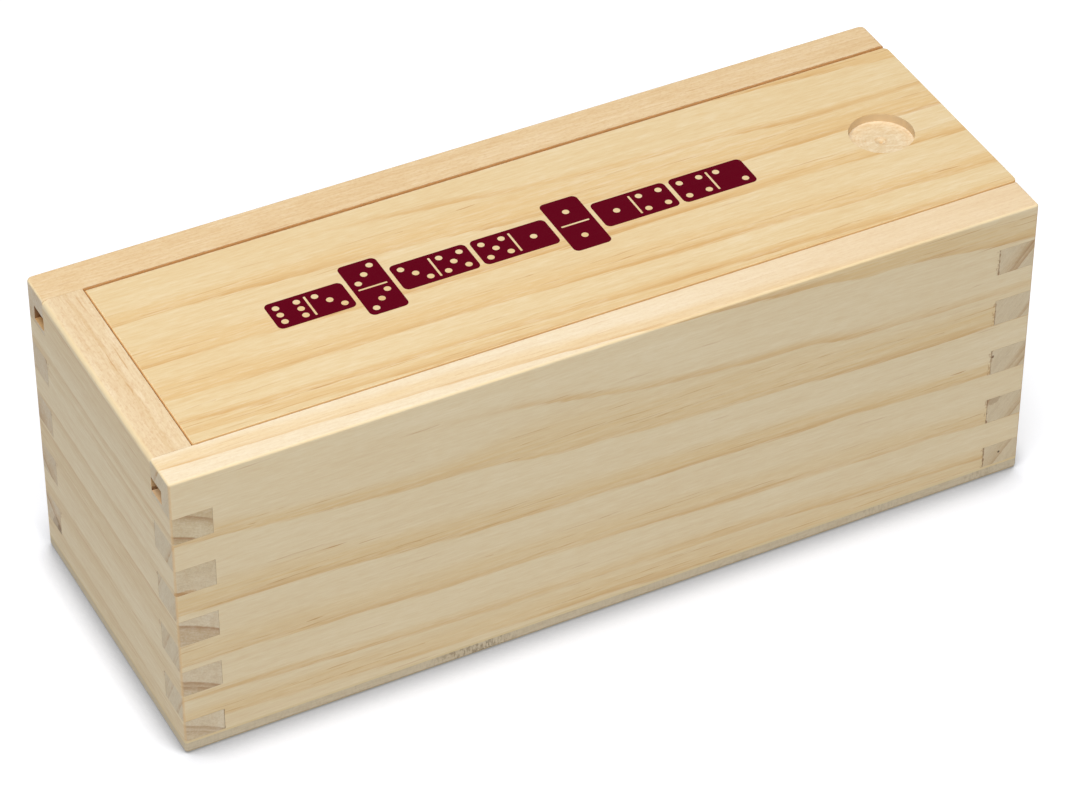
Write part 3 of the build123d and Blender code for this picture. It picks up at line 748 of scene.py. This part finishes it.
def makeFloor(look):
    bpy.ops.object.select_all(action="DESELECT")
    bpy.ops.mesh.primitive_plane_add(size=look["floorSize"], location=(0, 0, -0.00005))
    floor = bpy.context.object
    floor.name = "studio_floor"
    material = bpy.data.materials.new("studio_paper")
    material.use_nodes = True
    tree = material.node_tree
    tree.nodes.clear()
    contact = put(tree, "AmbientOcclusion", samples=12)
    contact.inputs["Distance"].default_value = look["contact"] * mm
    dark = calc(tree, "MULTIPLY", calc(tree, "SUBTRACT", 1.0, contact.outputs["AO"]), 2.0, clamp=True)
    onFloor = put(tree, "TexCoord").outputs["Object"]
    x = split(tree, onFloor)[0]
    reach = calc(tree, "MULTIPLY", remap(tree, x, -0.102, -0.1, 1.5, 1.0), remap(tree, x, 0.098, 0.106, 1.0, 1.8))  # shorter at both ends
    light = calc(tree, "MULTIPLY", calc(tree, "SUBTRACT", 1.0, dark), reach, clamp=True)
    curve = put(tree, "FloatCurve")
    line = curve.mapping.curves[0]
    while len(line.points) < len(look["shadow"]):
        line.points.new(0.5, 0.5)
    for dot, spot in zip(line.points, look["shadow"]):
        dot.location = spot
    curve.mapping.update()
    feed(tree, curve.inputs["Value"], light)
    shade = curve.outputs["Value"]
    tone = put(tree, "CombineColor")
    for channel in tone.inputs:
        feed(tree, channel, shade)
    paper, bare, glow = put(tree, "BsdfDiffuse"), put(tree, "BsdfDiffuse"), put(tree, "Emission")
    paper.inputs["Color"].default_value = look["bounce"]
    feed(tree, bare.inputs["Color"], mixColour(tree, 1.0, tone.outputs[0], look["shown"], "MULTIPLY"))
    feed(tree, glow.inputs["Color"], tone.outputs[0])
    far = remap(tree, vectorCalc(tree, "LENGTH", onFloor), 0.45, 1.6, 0.0, 0.5)
    feed(tree, glow.inputs["Strength"], calc(tree, "ADD", remap(tree, x, 0.098, 0.125, *look["lift"]), far))
    shown, chosen = put(tree, "AddShader"), put(tree, "MixShader")
    feed(tree, shown.inputs[0], bare.outputs[0])
    feed(tree, shown.inputs[1], glow.outputs[0])
    feed(tree, chosen.inputs[0], seenDirectly(tree))
    feed(tree, chosen.inputs[1], paper.outputs[0])
    feed(tree, chosen.inputs[2], shown.outputs[0])
    feed(tree, put(tree, "OutputMaterial").inputs["Surface"], chosen.outputs[0])
    floor.data.materials.append(material)
    return floor


def areaLight(name, look):
    lamp = bpy.data.lights.new(name, "AREA")
    lamp.shape, lamp.size, lamp.energy = "SQUARE", look["size"], look["watts"]
    made = bpy.data.objects.new(name, lamp)
    bpy.context.scene.collection.objects.link(made)
    made.location = look["at"]
    made.rotation_euler = (Vector((0, 0, 0.03)) - Vector(look["at"])).to_track_quat("-Z", "Y").to_euler()
    return made


def makeWorld(strength):
    world = bpy.data.worlds.new("studio_air")
    bpy.context.scene.world = world
    world.use_nodes = True
    tree = world.node_tree
    tree.nodes.clear()
    light, white, chosen = put(tree, "Background"), put(tree, "Background"), put(tree, "MixShader")
    light.inputs["Color"].default_value = (0.96, 0.98, 1.0, 1)
    light.inputs["Strength"].default_value = strength
    white.inputs["Color"].default_value = (1, 1, 1, 1)
    feed(tree, chosen.inputs[0], seenDirectly(tree))
    feed(tree, chosen.inputs[1], light.outputs[0])
    feed(tree, chosen.inputs[2], white.outputs[0])
    feed(tree, put(tree, "OutputWorld").inputs["Surface"], chosen.outputs[0])


makeFloor(studio)
areaLight("key_softbox", studio["key"])
areaLight("fill_softbox", studio["fill"])
makeWorld(studio["world"])
print("studio set")


# The camera stands in front and to the left, well above the box, with a long lens.
eye = {"azimuth": -27.087, "elevation": 39.744, "roll": 0.069, "distance": 0.9627, "target": (-0.00147, -0.00109, 0.03102), "lens": 151.52}


def makeCamera(look):
    a, e = math.radians(look["azimuth"]), math.radians(look["elevation"])
    back = Vector((math.sin(a) * math.cos(e), -math.cos(a) * math.cos(e), math.sin(e)))
    made = bpy.data.objects.new("camera", bpy.data.cameras.new("camera"))
    bpy.context.scene.collection.objects.link(made)
    made.data.sensor_width, made.data.lens = 36.0, look["lens"]
    made.data.clip_start, made.data.clip_end = 0.05, 20.0
    made.location = Vector(look["target"]) + back * look["distance"]
    aim = (-back).to_track_quat("-Z", "Y").to_matrix() @ Matrix.Rotation(math.radians(look["roll"]), 3, "Z")
    made.rotation_euler = aim.to_euler()
    bpy.context.scene.camera = made


makeCamera(eye)
bpy.context.scene.view_settings.view_transform = "Standard"
print("camera placed")
